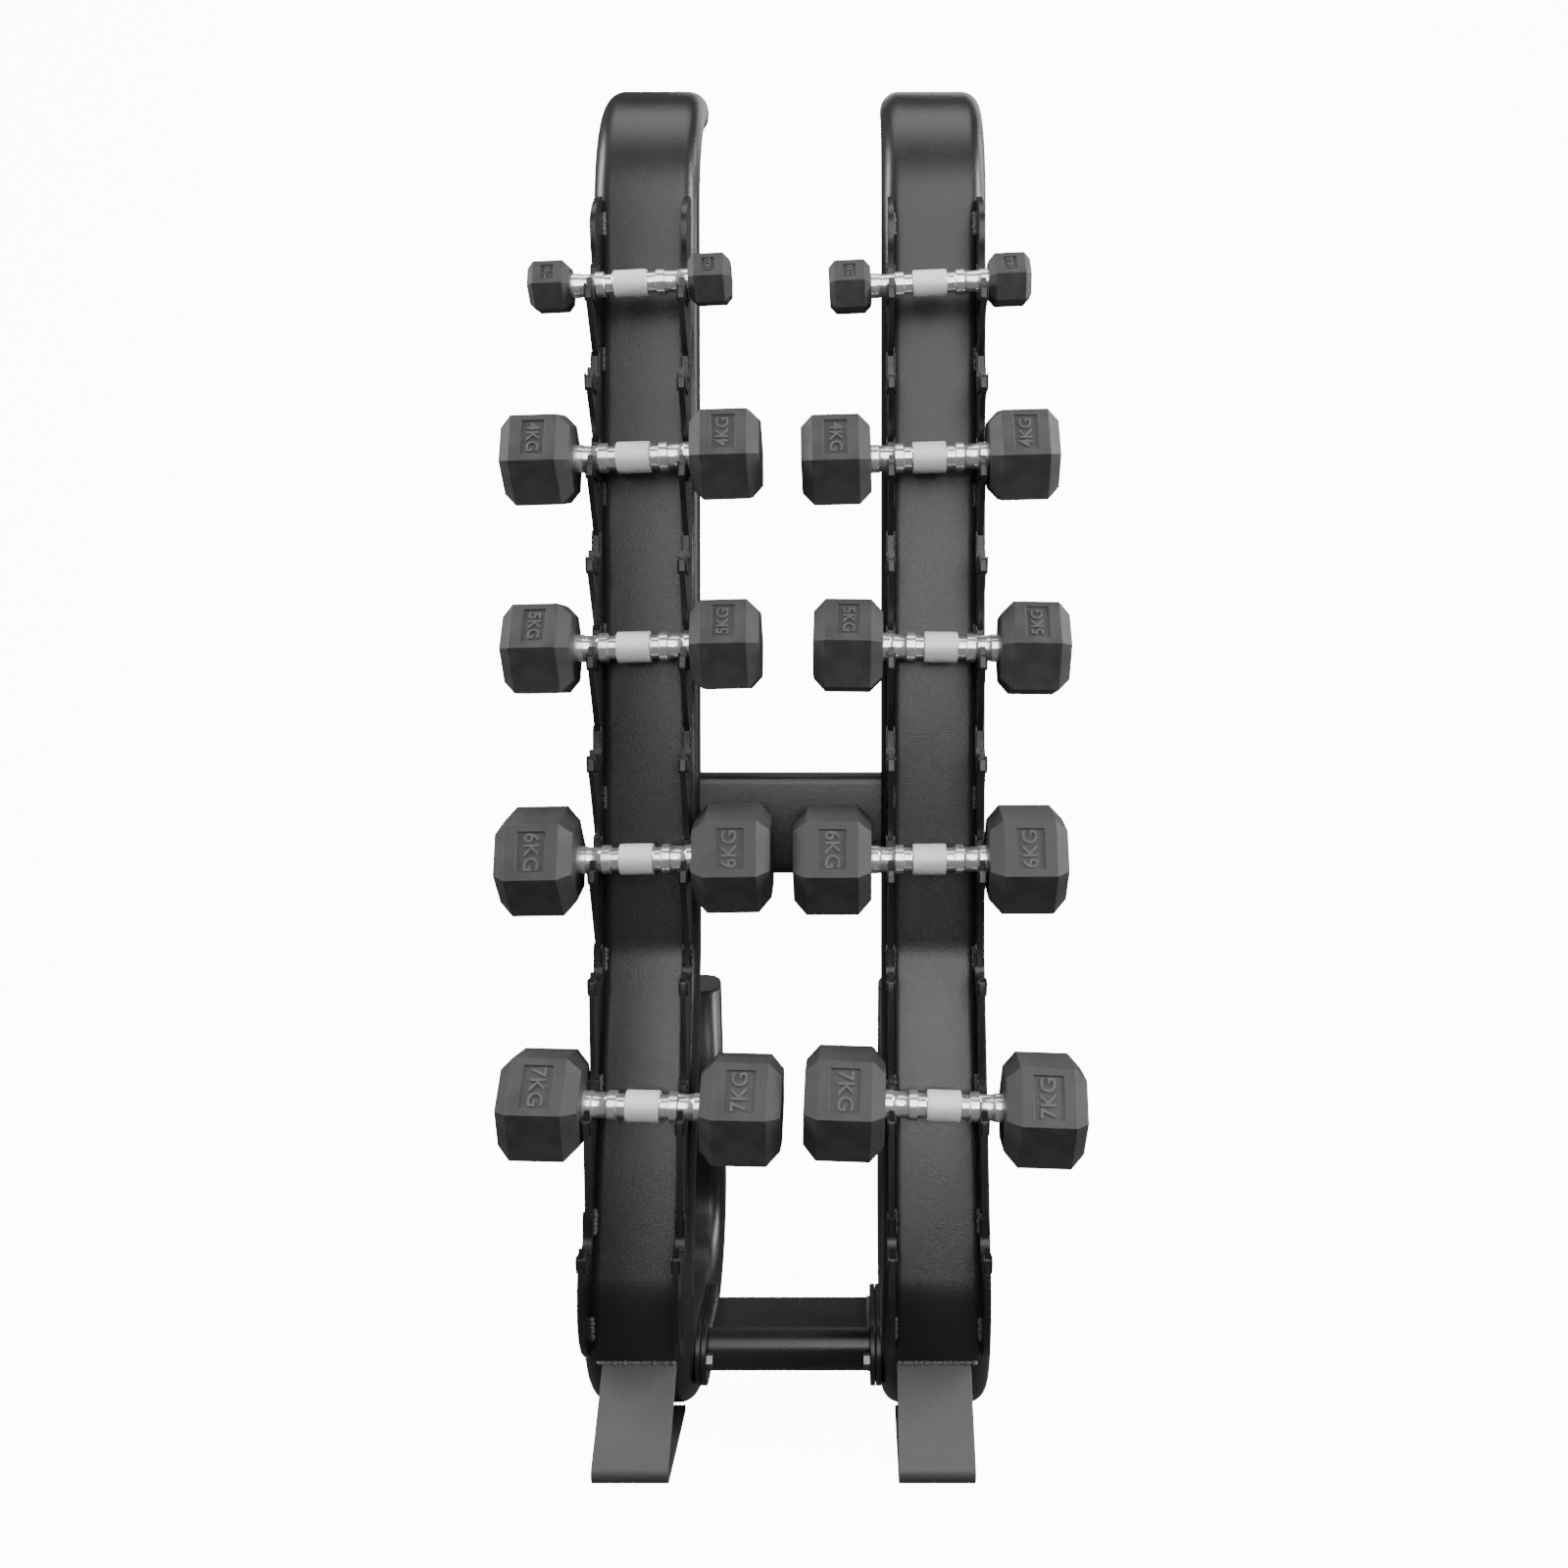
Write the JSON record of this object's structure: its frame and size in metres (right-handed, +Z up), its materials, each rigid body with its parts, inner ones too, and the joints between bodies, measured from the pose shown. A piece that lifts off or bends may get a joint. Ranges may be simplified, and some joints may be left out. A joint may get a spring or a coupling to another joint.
{
  "type": "dumbbell rack",
  "caption": "Free-standing twin-column tower of bent flat-oval tube with slotted hook plates that hold hex dumbbells by their handles.",
  "frame": {"origin": "on the floor, under the middle of the whole object's bounding box", "axes": "+X to the right seen from the front, +Y from front to rear, +Z up; the saddles open towards -Y and up"},
  "size_m": [0.5245, 0.4316, 1.269],
  "materials": {
    "powder_coat": "black satin powder coat with a fine texture",
    "foot_coat": "dark grey satin powder coat",
    "cap_plastic": "black moulded plastic",
    "zinc": "zinc-plated steel",
    "rubber": "matte black moulded rubber",
    "chrome": "polished chrome"
  },
  "bodies": {
    "rack": {"left_column_flange": "powder_coat", "left_column_left_hook_plate": "powder_coat", "left_column_right_hook_plate": "powder_coat", "left_column_tube": "powder_coat", "left_flange_front_bolt": "zinc", "left_flange_rear_bolt": "zinc", "left_front_foot": "foot_coat", "left_rear_cap": "cap_plastic", "left_top_cap": "cap_plastic", "left_tube_flange": "powder_coat", "lower_cross_tube": "powder_coat", "right_column_flange": "powder_coat", "right_column_left_hook_plate": "powder_coat", "right_column_right_hook_plate": "powder_coat", "right_column_tube": "powder_coat", "right_flange_front_bolt": "zinc", "right_flange_rear_bolt": "zinc", "right_front_foot": "foot_coat", "right_rear_cap": "cap_plastic", "right_top_cap": "cap_plastic", "right_tube_flange": "powder_coat", "upper_cross_tube": "powder_coat"},
    "left_dumbbell_1kg": {"left_dumbbell_1kg_handle": "chrome", "left_dumbbell_1kg_left_head": "rubber", "left_dumbbell_1kg_right_head": "rubber"},
    "left_dumbbell_4kg": {"left_dumbbell_4kg_handle": "chrome", "left_dumbbell_4kg_left_head": "rubber", "left_dumbbell_4kg_right_head": "rubber"},
    "left_dumbbell_5kg": {"left_dumbbell_5kg_handle": "chrome", "left_dumbbell_5kg_left_head": "rubber", "left_dumbbell_5kg_right_head": "rubber"},
    "left_dumbbell_6kg": {"left_dumbbell_6kg_handle": "chrome", "left_dumbbell_6kg_left_head": "rubber", "left_dumbbell_6kg_right_head": "rubber"},
    "left_dumbbell_7kg": {"left_dumbbell_7kg_handle": "chrome", "left_dumbbell_7kg_left_head": "rubber", "left_dumbbell_7kg_right_head": "rubber"},
    "right_dumbbell_1kg": {"right_dumbbell_1kg_handle": "chrome", "right_dumbbell_1kg_left_head": "rubber", "right_dumbbell_1kg_right_head": "rubber"},
    "right_dumbbell_4kg": {"right_dumbbell_4kg_handle": "chrome", "right_dumbbell_4kg_left_head": "rubber", "right_dumbbell_4kg_right_head": "rubber"},
    "right_dumbbell_5kg": {"right_dumbbell_5kg_handle": "chrome", "right_dumbbell_5kg_left_head": "rubber", "right_dumbbell_5kg_right_head": "rubber"},
    "right_dumbbell_6kg": {"right_dumbbell_6kg_handle": "chrome", "right_dumbbell_6kg_left_head": "rubber", "right_dumbbell_6kg_right_head": "rubber"},
    "right_dumbbell_7kg": {"right_dumbbell_7kg_handle": "chrome", "right_dumbbell_7kg_left_head": "rubber", "right_dumbbell_7kg_right_head": "rubber"}
  },
  "joints": [
    {"name": "left_dumbbell_1kg_lift", "type": "slide", "parent": "rack", "child": "left_dumbbell_1kg", "axis": [0, -0.5, 0.866], "range_m": [0, 0.024]},
    {"name": "left_dumbbell_4kg_lift", "type": "slide", "parent": "rack", "child": "left_dumbbell_4kg", "axis": [0, -0.5, 0.866], "range_m": [0, 0.024]},
    {"name": "left_dumbbell_5kg_lift", "type": "slide", "parent": "rack", "child": "left_dumbbell_5kg", "axis": [0, -0.5, 0.866], "range_m": [0, 0.024]},
    {"name": "left_dumbbell_6kg_lift", "type": "slide", "parent": "rack", "child": "left_dumbbell_6kg", "axis": [0, -0.5, 0.866], "range_m": [0, 0.024]},
    {"name": "left_dumbbell_7kg_lift", "type": "slide", "parent": "rack", "child": "left_dumbbell_7kg", "axis": [0, -0.5, 0.866], "range_m": [0, 0.024]},
    {"name": "right_dumbbell_1kg_lift", "type": "slide", "parent": "rack", "child": "right_dumbbell_1kg", "axis": [0, -0.5, 0.866], "range_m": [0, 0.024]},
    {"name": "right_dumbbell_4kg_lift", "type": "slide", "parent": "rack", "child": "right_dumbbell_4kg", "axis": [0, -0.5, 0.866], "range_m": [0, 0.024]},
    {"name": "right_dumbbell_5kg_lift", "type": "slide", "parent": "rack", "child": "right_dumbbell_5kg", "axis": [0, -0.5, 0.866], "range_m": [0, 0.024]},
    {"name": "right_dumbbell_6kg_lift", "type": "slide", "parent": "rack", "child": "right_dumbbell_6kg", "axis": [0, -0.5, 0.866], "range_m": [0, 0.024]},
    {"name": "right_dumbbell_7kg_lift", "type": "slide", "parent": "rack", "child": "right_dumbbell_7kg", "axis": [0, -0.5, 0.866], "range_m": [0, 0.024]}
  ]
}
